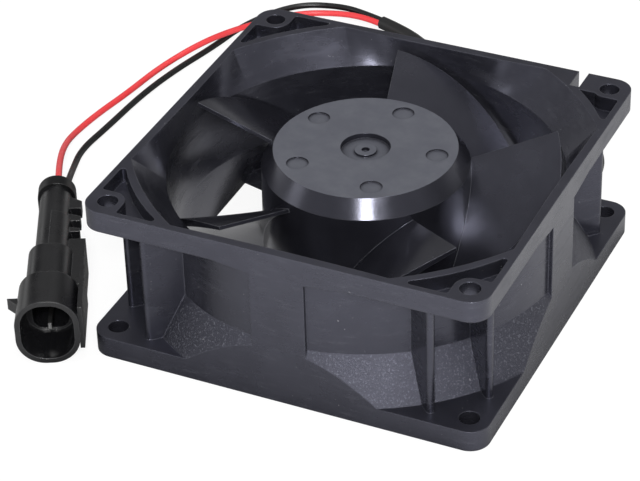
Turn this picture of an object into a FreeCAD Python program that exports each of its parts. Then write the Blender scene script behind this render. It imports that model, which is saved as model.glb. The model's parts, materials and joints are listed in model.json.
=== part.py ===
"""Server fan module: a 92 x 92 x 38 mm DC axial fan with its two leads and its sealed tab plug.

Every sub-part is one STEP file in parts/. All sizes are millimetres. The origin is the middle of the
fan's underside, +X runs along the front edge, +Y to the lead side and +Z up to the rotor face.
"""
import FreeCAD, Part
import math
import os

# ---------------------------------------------------------------- how shapes are joined
root_overlap = 1.0              # how far a piece is sunk into what it is fused to
surface_step = 0.01             # step of a slope taken along a blade
same_corner = 0.1               # corners nearer than this are the same corner

# ---------------------------------------------------------------- frame
frame_side = 92.0
frame_depth = 38.0
flange_thick = 5.0
corner_round = 4.5
hole_inset = 4.75               # screw hole axis to the frame's side
hole_radius = 2.25
throat_side_wall = 2.3          # narrowest wall, in the middle of a side
throat_bottom = 15.0
bell_depth = 6.5
throat_wall = 1.8
side_land_angle = 28.1          # half the angle of each side sector on the throat circle
rim_corner_reach = 6.6          # inlet edge beyond the throat, along the diagonal
rim_side_wall = 1.7             # wall of the inlet edge at the ends of a side
rim_side_bow = 0.4              # how much thicker it is in the middle of the side
rim_side_share = 0.57           # half an inlet side, as a share of the throat radius
flare_corner_reach = 7.8        # outlet edge beyond the throat, along the diagonal
flare_side_wall = 1.85
flare_side_bow = 0.02
flare_side_share = 0.618        # half an outlet side, as a share of the throat radius
flare_skin_reach = 7.4          # outside of the flare beyond the throat, at the lower flange
bell_skin_reach = 4.7           # outside of the bell beyond the throat, at the upper flange
bell_skin_rise = 1.2
bell_skin_step = 0.9
bell_skin_lip = 0.1
side_strip_half = 6.25
rib_thick = 1.8
rib_offset = 6.6                # middle of a rib, from the corner's diagonal
rib_inset = 4.34                # from the screw hole's axis back to the rib's end
pocket_depth = 3.5
pocket_arc_reach = 8.5          # inner edge of a pocket beyond the throat
pocket_start = 16.0             # from the screw hole back to the pocket's ends
pocket_edge_wall = 1.4
pocket_round = 0.7
boss_half = 3.6                 # half the square land round a screw hole
boss_round = 3.5
lead_notch_width = 2.3
lead_notch_inset = 12.5         # middle of the notch to the frame's side
lead_notch_length = 6.4
lead_notch_land = 7.3           # the pocket beside the notch stops this far from the side

# ---------------------------------------------------------------- struts and motor base
strut_count = 4
strut_height = 4.5
strut_width = 3.2
strut_inset = 8.58              # from the motor base's rim in to the near side of each strut
strut_turn = 75.1               # direction of the lead strut, degrees from +X
lead_strut_width = 5.2
channel_width = 3.5
channel_roof = 1.1
channel_start = 8.0
exit_width = 3.8
exit_height = 3.7
cup_lip = 0.3                   # the motor base is this much wider than the hub
cup_wall = 1.5
cup_height = 5.0
base_floor = 1.5
board_seat = 3.6                # top of the boss that carries the circuit board
board_boss_wall = 1.6

# ---------------------------------------------------------------- impeller
tip_clearance = 1.2
hub_drop = 0.8                  # hub face below the frame's rotor face
hub_radius_bottom = 23.2
hub_draft = 0.3
hub_wall = 1.2
bevel_share = 0.75              # the bevel inside the hub, as a share of the outer one
hub_bevel_width = 2.7
hub_bevel_height = 3.9
hub_roof = 2.6
hub_gap = 1.0                   # between the motor base and the turning hub
hub_recess_radius = 5.5
hub_recess_depth = 1.3
hub_boss_radius = 2.4
hub_boss_height = 0.6
hub_pin_hole_radius = 0.9
hub_pin_hole_depth = 0.9
dimple_count = 5
dimple_radius = 2.45
dimple_ring_radius = 15.9
dimple_depth = 0.45
dimple_turn = 10.2
blade_count = 5
blade_turn = 32.0
blade_sweep_root = 53.3
blade_sweep_tip = 56.0
blade_drop_root = 6.5           # leading edge below the frame's rotor face, at the hub
blade_drop_tip = 1.6            # the same at the tip
blade_strut_gap = 1.8
blade_entry_root = 0.36         # share of the fall that is linear along the blade, at the hub
blade_entry_tip = 0.41
blade_edge_thick = 0.8
blade_middle_thick = 1.8

# ---------------------------------------------------------------- motor
fit_gap = 0.02                  # pressed or bonded cylinders
shaft_radius = 1.5
shaft_foot = 2.6
bearing_radius = 4.0
bearing_length = 4.0
bearing_bottom = 5.0
inner_ring_radius = 2.25
outer_ring_bore = 3.25
ball_radius = 0.75
ball_play = 0.02
ball_count = 6
cage_wall = 0.34                # half the cage's radial width
cage_low = 0.3
cage_high = 1.15
tube_radius = 5.2
tube_foot_radius = 6.0
tube_shoulder_bore = 3.5
tube_bottom = 1.0
tube_lip = 0.5
cap_radius = 4.5
cap_thick = 0.8
washer_height = 1.0
washer_thick = 0.3
washer_outer = 3.0
clip_thick = 0.5
clip_radius = 2.9
clip_groove_radius = 1.2
clip_mouth = 1.9
bush_spigot_radius = 3.1
bush_spigot = 1.0
bush_flange_radius = 5.5
bush_flange = 1.5
bush_neck_radius = 3.5
yoke_wall = 1.0
yoke_lift = 1.0                 # yoke edge above the hub's lower edge
magnet_wall = 2.4
magnet_above_board = 3.2
magnet_top_space = 3.5
air_gap = 0.4
core_inset = 4.0                # magnet end to core end
core_hub_wall = 3.0
pole_count = 4
pole_half = 2.5
pole_shoe = 2.5
slot_width = 2.4
insulator_thick = 1.2
insulator_lip_wall = 1.2
insulator_lip = 2.6
insulator_side = 0.5
coil_half = 5.0
coil_build = 2.2
coil_start = 8.6
coil_end_gap = 0.2
coil_round = 1.8
pin_radius = 0.35
pin_ring_radius = 9.0
pin_boss_radius = 1.1
pin_boss_drop = 1.5
pin_tail = 0.6
board_thick = 1.2
board_edge_gap = 1.4
board_bore_gap = 0.4
pin_hole_gap = 0.1
hall_size = (3.0, 1.6, 0.9)
hall_turn = 45.0
chip_size = (5.0, 4.0, 1.4)
chip_turn = 206.6
chip_inset = 7.2                # from the board's edge to the middle of the chip
capacitor_size = (3.2, 2.5, 1.5)
capacitor_turn = 249.7
capacitor_inset = 6.2

# ---------------------------------------------------------------- leads and sleeve
lead_radius = 0.775
lead_gap = 0.05
lead_height = 1.8               # axis of the leads in the strut's channel
tail_start = 10.2               # where the leads reach the solder tabs
tail_reach = 4.8                # the sleeve starts this far beyond half the frame's side
sleeve_socket = 0.4             # the sleeve's seat starts this much before the sleeve
sleeve_straight = 15.0
tab_length = 1.2
sleeve_radius = 1.7

# ---------------------------------------------------------------- plug
plug_mouth = (-52.2, -52.9)     # middle of the mouth, on the floor
plug_turn = 116.565             # from the mouth to the cable end, degrees from +X
plug_axis_height = 8.15
shroud_width = 14.0
shroud_height = 16.3
shroud_length = 11.5
shroud_mouth_round = 6.4
shroud_rear_width = 13.2
shroud_rear_round = 5.5
neck_width = 10.0
neck_height = 15.5
neck_round = 3.8
neck_end = 22.9
barrel_width = 7.6
barrel_height = 13.5
barrel_round = 3.75
barrel_end = 47.4
panel_raise = 0.45
panel_end = 36.6
panel_left = 0.4
mouth_wall = 1.2
mouth_inner_length = 10.5
socket_width = 8.0
socket_height = 12.6
socket_round = 2.4
socket_depth = 21.5
lock_plate_thick = 1.5
lock_plate_gap = 0.1
bore_radius = 2.3
bore_half_pitch = 3.0
bore_start = 24.0
tab_width = 1.5
tab_thick = 0.8
tab_tip = 6.5
tab_slot_gap = 0.1
terminal_half = 1.5
terminal_end = 33.5
crimp_radius = 1.2
crimp_end = 38.0
seal_start = 39.5
seal_length = 5.0
seal_ribs = 3
seal_rib_height = 0.4
end_cap_width = 8.7
end_cap_height = 14.9
end_cap_round = 4.3
end_cap_thick = 3.25
end_cap_spigot = 2.4
end_cap_gap = 0.15
wire_hole_gap = 0.15
rail_block_start = 11.0
rail_block_end = 28.5
rail_block_out = 7.5
rail_block_half = 4.8
rail_plate_out = 7.75
rail_plate_thick = 1.0
rail_plate_start = 1.3
rail_plate_end = 17.4
rail_plate_half = 5.4
rail_web_half = 2.1
hook_starts = (31.2, 35.5, 40.5)
hook_lengths = (2.2, 3.4, 5.6)
hook_out = 6.1
hook_low = 2.2                  # above the plug's axis
hook_high = 5.0
latch_start = 8.3
latch_end = 11.2
latch_out = 9.3
latch_half = 1.4

# ---------------------------------------------------------------- cord routes, chosen by hand
sleeve_points = [               # these follow the straight start out of the frame
    (27.00, 74.00, 1.72), (9.00, 84.50, 1.72), (-11.00, 91.50, 1.72), (-26.50, 98.00, 1.72),
    (-35.20, 104.00, 1.72), (-43.20, 106.667, 1.72),
]
red_points = [
    (-69.194, -18.912, 11.15), (-76.618, -4.064, 11.15), (-84.40, 11.60, 7.20), (-90.60, 23.80, 2.40),
    (-92.40, 37.00, 0.79), (-89.10, 51.50, 0.79), (-86.60, 65.50, 1.50), (-80.20, 77.20, 3.90),
    (-75.60, 90.20, 2.20), (-66.80, 104.20, 0.79), (-56.00, 108.60, 0.79), (-47.722, 107.331, 1.72),
    (-43.453, 105.908, 1.72),
]
black_points = [
    (-69.194, -18.912, 5.15), (-76.349, -4.602, 5.15), (-82.40, 11.40, 3.00), (-86.90, 24.00, 0.79),
    (-86.20, 38.00, 0.79), (-85.30, 52.50, 0.79), (-82.90, 66.80, 0.79), (-78.40, 80.00, 0.79),
    (-76.40, 94.50, 0.79), (-69.20, 108.20, 0.79), (-57.20, 112.20, 0.79), (-47.216, 108.849, 1.72),
    (-42.947, 107.426, 1.72),
]

# ---------------------------------------------------------------- worked out from the above
half_side = frame_side / 2
hole_pitch = frame_side - 2 * hole_inset
throat_radius = half_side - throat_side_wall
rim_corner_radius = throat_radius + rim_corner_reach
rim_side_half = throat_radius * rim_side_share
flare_corner_radius = throat_radius + flare_corner_reach
flare_side_half = throat_radius * flare_side_share
flare_skin_radius = throat_radius + flare_skin_reach
bell_skin_radius = throat_radius + bell_skin_reach
pocket_arc_radius = throat_radius + pocket_arc_reach
throat_top = frame_depth - bell_depth
upper_flange = frame_depth - flange_thick
hole_reach = hole_pitch / math.sqrt(2)
tip_radius = throat_radius - tip_clearance
hub_radius_top = hub_radius_bottom - hub_draft
hub_face_radius = hub_radius_top - hub_bevel_width
cup_radius = hub_radius_bottom + cup_lip
board_radius = cup_radius - cup_wall - board_edge_gap
hub_top = frame_depth - hub_drop
hub_bottom = cup_height + hub_gap
hub_ceiling = hub_top - hub_roof
blade_bottom = strut_height + blade_strut_gap
yoke_radius = hub_radius_bottom - hub_wall - fit_gap
yoke_top = hub_ceiling - fit_gap
yoke_bottom = hub_bottom + yoke_lift
magnet_radius = yoke_radius - yoke_wall - fit_gap
magnet_bore = magnet_radius - magnet_wall
board_top = board_seat + board_thick
magnet_bottom = board_top + magnet_above_board
magnet_top = yoke_top - yoke_wall - magnet_top_space
core_radius = magnet_bore - air_gap
core_bottom = magnet_bottom + core_inset
core_top = magnet_top - core_inset
core_bore = tube_radius + fit_gap
bush_top = yoke_top
bush_seat = yoke_top - yoke_wall
bush_bottom = bush_seat - bush_flange - bush_spigot
upper_bearing_bottom = bush_bottom - washer_height - bearing_length
tube_top = upper_bearing_bottom + bearing_length + tube_lip
ball_ring_radius = (inner_ring_radius + outer_ring_bore) / 2
insulator_base = core_bottom - insulator_thick
strut_offset = cup_radius - strut_inset
lead_offset = strut_offset + lead_strut_width / 2
tail_end = half_side + tail_reach


def save(name, shape):
    """Write one sub-part as parts/NAME.step."""
    shape.exportStep("parts/" + name + ".step")


def box(x_low, x_high, y_low, y_high, z_low, z_high):
    """A box given by its limits."""
    corner = FreeCAD.Vector(x_low, y_low, z_low)
    return Part.makeBox(x_high - x_low, y_high - y_low, z_high - z_low, corner)


def rod(radius, low, high, x=0.0, y=0.0):
    """An upright cylinder."""
    return Part.makeCylinder(radius, high - low, FreeCAD.Vector(x, y, low))


def ring(bore, radius, low, high):
    """An upright tube about the fan's axis."""
    return rod(radius, low, high).cut(rod(bore, low, high))


def turned(profile):
    """The solid that a closed outline of (radius, height) points makes about the fan's axis."""
    points = [FreeCAD.Vector(radius, 0, height) for radius, height in profile]
    outline = Part.makePolygon(points + points[:1])
    return Part.Face(outline).revolve(FreeCAD.Vector(), FreeCAD.Vector(0, 0, 1), 360)


def spun(shape, angle):
    """A copy of the shape turned about the fan's axis."""
    copy = shape.copy()
    copy.rotate(FreeCAD.Vector(), FreeCAD.Vector(0, 0, 1), angle)
    return copy


def around(shape, count, first=0.0):
    """Copies of the shape spaced evenly about the fan's axis."""
    return [spun(shape, first + 360.0 * index / count) for index in range(count)]


def joined(shapes):
    """The shapes fused into one solid, with seams between flush faces removed."""
    return shapes[0].fuse(shapes[1:]).removeSplitter()


def polar(radius, angle, height=0.0):
    """The point at this radius, angle in degrees and height."""
    turn = math.radians(angle)
    return FreeCAD.Vector(radius * math.cos(turn), radius * math.sin(turn), height)


def arc(start, middle, end):
    """The edge through three points."""
    return Part.Arc(start, middle, end).toShape()


# ---------------------------------------------------------------- frame
def throat_outline(height):
    """The throat circle as eight arcs: four side sectors and four corner sectors."""
    edges = []
    for side in range(4):
        normal = 90.0 * side
        bounds = (normal - side_land_angle, normal + side_land_angle, normal + 90.0 - side_land_angle)
        for start, end in zip(bounds, bounds[1:]):
            points = [polar(throat_radius, angle, height) for angle in (start, (start + end) / 2, end)]
            edges.append(arc(*points))
    return Part.Wire(edges)


def mouth_outline(height, side_reach, side_middle, side_half, corner_radius):
    """An inlet or outlet edge: four almost straight sides joined by four corner arcs."""
    edges = []
    for side in range(4):
        normal = 90.0 * side
        turn = FreeCAD.Rotation(FreeCAD.Vector(0, 0, 1), normal)
        start = turn.multVec(FreeCAD.Vector(side_reach, -side_half, height))
        middle = turn.multVec(FreeCAD.Vector(side_middle, 0, height))
        end = turn.multVec(FreeCAD.Vector(side_reach, side_half, height))
        following = turn.multVec(FreeCAD.Vector(side_half, side_reach, height))
        edges.append(arc(start, middle, end))
        edges.append(arc(end, polar(corner_radius, normal + 45.0, height), following))
    return Part.Wire(edges)


def air_passage():
    """The hollow of the frame: bell mouth, straight throat and flared outlet."""
    side = half_side - rim_side_wall
    rim = mouth_outline(frame_depth, side, side - rim_side_bow, rim_side_half, rim_corner_radius)
    lip = half_side - flare_side_wall
    outlet = mouth_outline(0.0, lip, lip - flare_side_bow, flare_side_half, flare_corner_radius)
    bell = Part.makeLoft([throat_outline(throat_top), rim], True, True)
    flare = Part.makeLoft([outlet, throat_outline(throat_bottom)], True, True)
    throat = rod(throat_radius, throat_bottom, throat_top)
    return [bell, throat, flare]


def square_plate(low, high):
    """A full-size square plate with rounded corners."""
    plate = box(-half_side, half_side, -half_side, half_side, low, high)
    upright = [edge for edge in plate.Edges if abs(edge.tangentAt(edge.FirstParameter).z) > 0.99]
    return plate.makeFillet(corner_round, upright)


def duct_skin():
    """The outside of the duct between the flanges, still solid inside."""
    skin_radius = throat_radius + throat_wall
    bell_start = upper_flange - bell_skin_rise
    skin = turned([
        (0.0, 0.0), (flare_skin_radius, 0.0), (flare_skin_radius, flange_thick),
        (skin_radius, throat_bottom), (skin_radius, bell_start), (skin_radius + bell_skin_step, bell_start + bell_skin_lip),
        (bell_skin_radius, upper_flange), (bell_skin_radius, frame_depth), (0.0, frame_depth),
    ])
    return skin.common(square_plate(0.0, frame_depth))


def corner_ribs():
    """Two ribs beside each corner's diagonal, with rounded outer ends."""
    outer = hole_reach - rib_inset - rib_thick / 2
    inner = throat_radius + throat_wall / 2
    ribs = []
    for side in (-1, 1):
        middle = side * rib_offset
        plate = box(inner, outer, middle - rib_thick / 2, middle + rib_thick / 2, flange_thick, upper_flange)
        nose = rod(rib_thick / 2, flange_thick, upper_flange, outer, middle)
        ribs += around(plate.fuse(nose), 4, 45.0)
    return ribs


def side_strips():
    """The flat strip that stays flush with the flanges in the middle of each side."""
    inner = throat_radius + throat_wall / 2
    strip = box(inner, half_side, -side_strip_half, side_strip_half, 0.0, frame_depth)
    return around(strip, 4)


def corner_pocket():
    """The blind recess in the rotor face between the inlet edge, the rim and a screw boss."""
    floor = frame_depth - pocket_depth
    reach = half_side - pocket_edge_wall
    start = hole_pitch / 2 - pocket_start
    block = box(start, reach, start, reach, floor, frame_depth)
    inner = hole_pitch / 2 - boss_half
    boss = box(inner, half_side, inner, half_side, floor, frame_depth)
    nearest = [edge for edge in boss.Edges if abs(edge.CenterOfMass.x - inner) < same_corner
               and abs(edge.CenterOfMass.y - inner) < same_corner]
    boss = boss.makeFillet(boss_round, nearest)
    pocket = block.cut(rod(pocket_arc_radius, floor, frame_depth)).cut(boss)
    upright = [edge for edge in pocket.Edges if edge.Length > pocket_depth * 0.99
               and abs(edge.Vertexes[0].Z - edge.Vertexes[-1].Z) > pocket_depth * 0.99]
    sharp = [edge for edge in upright if is_sharp(edge)]
    return pocket.makeFillet(pocket_round, sharp)


def is_sharp(edge):
    """True for the pocket's outer corners, false where the boss's rounding runs out."""
    x, y = edge.CenterOfMass.x, edge.CenterOfMass.y
    inner = hole_pitch / 2 - boss_half
    tangent_points = ((inner, inner + boss_round), (inner + boss_round, inner))
    return all(math.hypot(x - a, y - b) > same_corner for a, b in tangent_points)


def lead_corner_pocket():
    """The same recess at the lead corner, where it stops at the lead notch."""
    edge = half_side - lead_notch_land
    land = box(0.0, edge, edge, half_side, 0.0, frame_depth)
    return corner_pocket().cut(land)


def lead_notch():
    """The notch in the rim of the rotor face that the leads can be led up through."""
    low = half_side - lead_notch_inset - lead_notch_width / 2
    inner = half_side - lead_notch_length
    return box(low, low + lead_notch_width, inner, half_side, upper_flange, frame_depth)


def strut_bar(width):
    """One strut along +X, still through the motor base, with its outer end in the frame's wall."""
    return box(0.0, frame_side, -strut_offset - width, -strut_offset, 0.0, strut_height)


def struts():
    """The tangential struts; the first is wider and carries the leads."""
    bars = [spun(strut_bar(lead_strut_width), strut_turn)]
    for index in range(1, strut_count):
        bars.append(spun(strut_bar(strut_width), strut_turn + 360.0 * index / strut_count))
    reach = half_side - flare_side_wall / 2
    limit = box(-reach, reach, -reach, reach, 0.0, strut_height)
    hollow = rod(cup_radius - cup_wall / 2, 0.0, strut_height)
    return [bar.common(limit).cut(hollow) for bar in bars]


def motor_base():
    """The shallow cup that carries the bearing tube and the circuit board."""
    cup = rod(cup_radius, 0.0, cup_height).cut(rod(cup_radius - cup_wall, base_floor, cup_height))
    boss = rod(tube_foot_radius + fit_gap + board_boss_wall, 0.0, board_seat)
    seat = rod(tube_foot_radius + fit_gap, tube_bottom, board_seat)
    return cup.fuse(boss).cut([seat, rod(cap_radius + fit_gap, 0.0, tube_bottom)])


def lead_channel():
    """The groove for the leads under the lead strut and its way out through the frame's wall."""
    roof = strut_height - channel_roof
    groove = box(channel_start, tail_end - sleeve_socket, -lead_offset - channel_width / 2,
                 -lead_offset + channel_width / 2, 0.0, roof)
    way_out = box(tail_end - sleeve_socket, frame_side, -lead_offset - exit_width / 2,
                  -lead_offset + exit_width / 2, 0.0, exit_height)
    return spun(groove.fuse(way_out), strut_turn)


def fan_frame():
    """The one-piece moulded frame."""
    plates = [square_plate(0.0, flange_thick), square_plate(upper_flange, frame_depth)]
    body = duct_skin().fuse(plates + corner_ribs() + side_strips())
    body = body.cut(air_passage())
    reach = hole_pitch / 2
    holes = [rod(hole_radius, 0.0, frame_depth, x, y) for x in (-reach, reach) for y in (-reach, reach)]
    pockets = [spun(corner_pocket(), 90.0 * quarter) for quarter in (1, 2, 3)]
    body = body.cut(holes + pockets + [lead_corner_pocket(), lead_notch()])
    body = body.fuse(struts() + [motor_base()])
    return body.cut(lead_channel()).removeSplitter()


# ---------------------------------------------------------------- impeller
def blade_point(radius, share):
    """A point of the blade's middle surface, from its leading (0) to its trailing edge (1)."""
    across = (radius - hub_radius_bottom) / (tip_radius - hub_radius_bottom)
    sweep = blade_sweep_root + across * (blade_sweep_tip - blade_sweep_root)
    entry = blade_entry_root + across * (blade_entry_tip - blade_entry_root)
    drop = blade_drop_root + across * (blade_drop_tip - blade_drop_root)
    top = frame_depth - drop
    fall = (top - blade_bottom) * (entry * share + (1.0 - entry) * share * share)
    return polar(radius, blade_turn - sweep * share, top - fall)


def blade_skin_point(radius, share, side):
    """The same point moved half the local thickness to one side of the blade."""
    step = surface_step
    along = blade_point(radius, share + step) - blade_point(radius, share - step)
    outward = blade_point(radius + step, share) - blade_point(radius - step, share)
    normal = outward.cross(along).normalize()
    bulge = (blade_middle_thick - blade_edge_thick) * math.sin(math.pi * share)
    return blade_point(radius, share) + normal * (side * (blade_edge_thick + bulge) / 2)


def blade_skin(side):
    """One face of a blade, from inside the hub's wall to just past the tip."""
    inner = hub_radius_bottom - hub_wall / 2
    outer = tip_radius + root_overlap
    radii = [inner + (outer - inner) * step / 4 for step in range(5)]
    rows = [[blade_skin_point(radius, share / 8, side) for share in range(9)] for radius in radii]
    surface = Part.BSplineSurface()
    surface.interpolate(rows)
    return surface.toShape()


def matching_edge(face, target):
    """The face's border edge nearest to a point."""
    return min(face.Edges, key=lambda edge: edge.CenterOfMass.distanceToPoint(target))


def blade():
    """One blade: two curved faces closed by ruled edges, trimmed to the tip circle."""
    upper, lower = blade_skin(1), blade_skin(-1)
    borders = [Part.makeRuledSurface(edge, matching_edge(lower, edge.CenterOfMass)) for edge in upper.Edges]
    shell = Part.makeShell([upper, lower] + borders)
    shell.sewShape()
    solid = Part.makeSolid(shell)
    if solid.Volume < 0:
        solid.reverse()
    return solid.common(rod(tip_radius, 0.0, frame_depth))


def hub():
    """The hub's moulded shell with its bevel, dimples and centre recess."""
    bevel_foot = hub_top - hub_bevel_height
    inner_radius = hub_radius_bottom - hub_wall
    bevel_slope = (hub_radius_top - hub_face_radius) / hub_bevel_height
    inner_face = hub_face_radius - hub_wall
    shell = turned([
        (0.0, hub_ceiling), (inner_face, hub_ceiling),
        (inner_radius, hub_ceiling - (inner_radius - inner_face) / bevel_slope * bevel_share),
        (inner_radius, hub_bottom), (hub_radius_bottom, hub_bottom), (hub_radius_top, bevel_foot),
        (hub_face_radius, hub_top), (0.0, hub_top),
    ])
    recess_floor = hub_top - hub_recess_depth
    recess = ring(hub_boss_radius, hub_recess_radius, recess_floor, hub_top)
    boss_top = recess_floor + hub_boss_height
    boss_cap = rod(hub_boss_radius, boss_top, hub_top)
    pin_hole = rod(hub_pin_hole_radius, boss_top - hub_pin_hole_depth, boss_top)
    dimple = rod(dimple_radius, hub_top - dimple_depth, hub_top, dimple_ring_radius)
    return shell.cut([recess, boss_cap, pin_hole] + around(dimple, dimple_count, dimple_turn))


def impeller():
    """The hub and its five blades, one moulding."""
    return joined([hub()] + around(blade(), blade_count))


# ---------------------------------------------------------------- rotor
def rotor_yoke():
    """The drawn steel cup inside the hub, with the bevel of the hub's own inside."""
    inner_radius = hub_radius_bottom - hub_wall
    face = hub_face_radius - hub_wall - fit_gap
    bevel_slope = (hub_radius_top - hub_face_radius) / hub_bevel_height
    foot = yoke_top - (inner_radius - (hub_face_radius - hub_wall)) / bevel_slope * bevel_share - fit_gap
    return turned([
        (bush_neck_radius + fit_gap, bush_seat), (face - yoke_wall / 2, bush_seat),
        (yoke_radius - yoke_wall, foot - yoke_wall / 2), (yoke_radius - yoke_wall, yoke_bottom),
        (yoke_radius, yoke_bottom), (yoke_radius, foot), (face, yoke_top),
        (bush_neck_radius + fit_gap, yoke_top),
    ])


def rotor_magnet():
    """The bonded ring magnet."""
    return ring(magnet_bore, magnet_radius, magnet_bottom, magnet_top)


def shaft_bush():
    """The flanged bush that joins the shaft to the yoke."""
    flange_low = bush_seat - bush_flange
    bore = shaft_radius + fit_gap
    return turned([
        (bore, bush_bottom), (bush_spigot_radius, bush_bottom), (bush_spigot_radius, flange_low),
        (bush_flange_radius, flange_low), (bush_flange_radius, bush_seat),
        (bush_neck_radius, bush_seat), (bush_neck_radius, bush_top), (bore, bush_top),
    ])


def rotor_shaft():
    """The steel shaft with its clip groove and chamfered foot."""
    groove_top = bearing_bottom
    groove_low = groove_top - clip_thick
    chamfer = shaft_radius / 5
    return turned([
        (0.0, shaft_foot), (shaft_radius - chamfer, shaft_foot), (shaft_radius, shaft_foot + chamfer),
        (shaft_radius, groove_low), (clip_groove_radius, groove_low), (clip_groove_radius, groove_top),
        (shaft_radius, groove_top), (shaft_radius, bush_top), (0.0, bush_top),
    ])


def retaining_clip():
    """The open ring in the shaft's groove that holds the lower bearing."""
    low = bearing_bottom - clip_thick
    body = ring(clip_groove_radius + fit_gap, clip_radius, low, bearing_bottom)
    return body.cut(box(0.0, clip_radius * 2, -clip_mouth / 2, clip_mouth / 2, low, bearing_bottom))


def preload_washer():
    """The conical spring washer between the bush and the upper bearing's inner ring."""
    low = bush_bottom - washer_height
    bore = shaft_radius + fit_gap * 3
    return turned([
        (bore, low), (inner_ring_radius, low), (washer_outer, bush_bottom - washer_thick),
        (washer_outer, bush_bottom), (inner_ring_radius, bush_bottom), (bore, low + washer_thick),
    ])


# ---------------------------------------------------------------- bearings
def ball_track(middle):
    """The ring-shaped groove that the balls run in."""
    axis = FreeCAD.Vector(0, 0, 1)
    return Part.makeTorus(ball_ring_radius, ball_radius + ball_play, FreeCAD.Vector(0, 0, middle), axis)


def bearing_outer(low):
    """The outer ring, pressed into the bearing tube."""
    blank = ring(outer_ring_bore, bearing_radius, low, low + bearing_length)
    return blank.cut(ball_track(low + bearing_length / 2))


def bearing_inner(low):
    """The inner ring, pressed on the shaft."""
    blank = ring(shaft_radius + fit_gap, inner_ring_radius, low, low + bearing_length)
    return blank.cut(ball_track(low + bearing_length / 2))


def bearing_balls(low):
    """The balls, each its own solid."""
    middle = low + bearing_length / 2
    ball = Part.makeSphere(ball_radius, FreeCAD.Vector(ball_ring_radius, 0, middle))
    return Part.makeCompound(around(ball, ball_count))


def bearing_cage(low):
    """The crown cage that spaces the balls."""
    middle = low + bearing_length / 2
    crown = ring(ball_ring_radius - cage_wall, ball_ring_radius + cage_wall,
                 middle - cage_low, middle + cage_high)
    seat = Part.makeSphere(ball_radius + ball_play, FreeCAD.Vector(ball_ring_radius, 0, middle))
    return crown.cut(around(seat, ball_count))


def bearing_tube():
    """The stepped tube that holds both bearings and carries the stator."""
    bore = bearing_radius + fit_gap
    return turned([
        (bore, tube_bottom), (tube_foot_radius, tube_bottom), (tube_foot_radius, insulator_base),
        (tube_radius, insulator_base), (tube_radius, tube_top), (bore, tube_top),
        (bore, upper_bearing_bottom), (tube_shoulder_bore, upper_bearing_bottom),
        (tube_shoulder_bore, bearing_bottom + bearing_length), (bore, bearing_bottom + bearing_length),
    ])


def base_cap():
    """The disc that closes the bottom of the bearing tube."""
    return rod(cap_radius, tube_bottom - cap_thick, tube_bottom)


# ---------------------------------------------------------------- stator
def slot_gaps(low, high):
    """The openings between neighbouring poles, as cutting boxes."""
    gap = box(core_radius / 2, core_radius * 2, -slot_width / 2, slot_width / 2, low, high)
    return around(gap, pole_count, 180.0 / pole_count)


def pole_star(neck_half, hub_outer, low, high):
    """A centre ring with one neck for each pole."""
    reach = core_radius - pole_shoe / 2
    neck = box(hub_outer - root_overlap, reach, -neck_half, neck_half, low, high)
    return [ring(core_bore, hub_outer, low, high)] + around(neck, pole_count)


def stator_core():
    """The four-pole lamination stack."""
    star = pole_star(pole_half, core_bore + core_hub_wall, core_bottom, core_top)
    shoes = ring(core_radius - pole_shoe, core_radius, core_bottom, core_top)
    return joined(star + [shoes.cut(slot_gaps(core_bottom, core_top))])


def insulator(low, lip_low, lip_high):
    """One insulating end cap of the core, with the lips that hold the windings."""
    high = low + insulator_thick
    star = pole_star(pole_half + insulator_side, core_bore + core_hub_wall, low, high)
    lip_outer = core_radius - pole_shoe / 2
    lip = ring(lip_outer - insulator_lip_wall, lip_outer, lip_low, lip_high)
    return star + [lip.cut(slot_gaps(lip_low, lip_high))]


def upper_insulator():
    """The end cap above the core."""
    return joined(insulator(core_top, core_top, core_top + insulator_thick + insulator_lip))


def lower_insulator():
    """The end cap below the core, with bosses for the winding pins."""
    parts = insulator(insulator_base, insulator_base - insulator_lip, core_bottom)
    boss = rod(pin_boss_radius, insulator_base - pin_boss_drop, core_bottom, pin_ring_radius)
    parts += around(boss, pole_count, 180.0 / pole_count)
    hole = rod(pin_radius + fit_gap, insulator_base - pin_boss_drop, insulator_base, pin_ring_radius)
    return joined(parts).cut(around(hole, pole_count, 180.0 / pole_count))


def rounded_rectangle(x, width, height, rounding, y_middle=0.0, z_middle=0.0):
    """An outline in a plane across X: four straight sides and four corner arcs."""
    half_width, half_height = width / 2, height / 2
    slant = rounding * (1.0 - math.sqrt(0.5))
    edges = []
    corners = ((1, -1), (1, 1), (-1, 1), (-1, -1))
    ends = []
    for y_sign, z_sign in corners:
        upright = FreeCAD.Vector(x, y_middle + y_sign * half_width,
                                 z_middle + z_sign * (half_height - rounding))
        level = FreeCAD.Vector(x, y_middle + y_sign * (half_width - rounding),
                               z_middle + z_sign * half_height)
        middle = FreeCAD.Vector(x, y_middle + y_sign * (half_width - slant),
                                z_middle + z_sign * (half_height - slant))
        first, last = (level, upright) if y_sign == -z_sign else (upright, level)
        ends.append((first, middle, last))
    for index, (first, middle, last) in enumerate(ends):
        edges.append(arc(first, middle, last))
        edges.append(Part.LineSegment(last, ends[(index + 1) % 4][0]).toShape())
    return Part.Wire(edges)


def rounded_bar(start, end, width, height, rounding, z_middle=0.0):
    """A bar along X with a rounded rectangular section."""
    outline = rounded_rectangle(start, width, height, rounding, 0.0, z_middle)
    return Part.Face(outline).extrude(FreeCAD.Vector(end - start, 0, 0))


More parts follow.
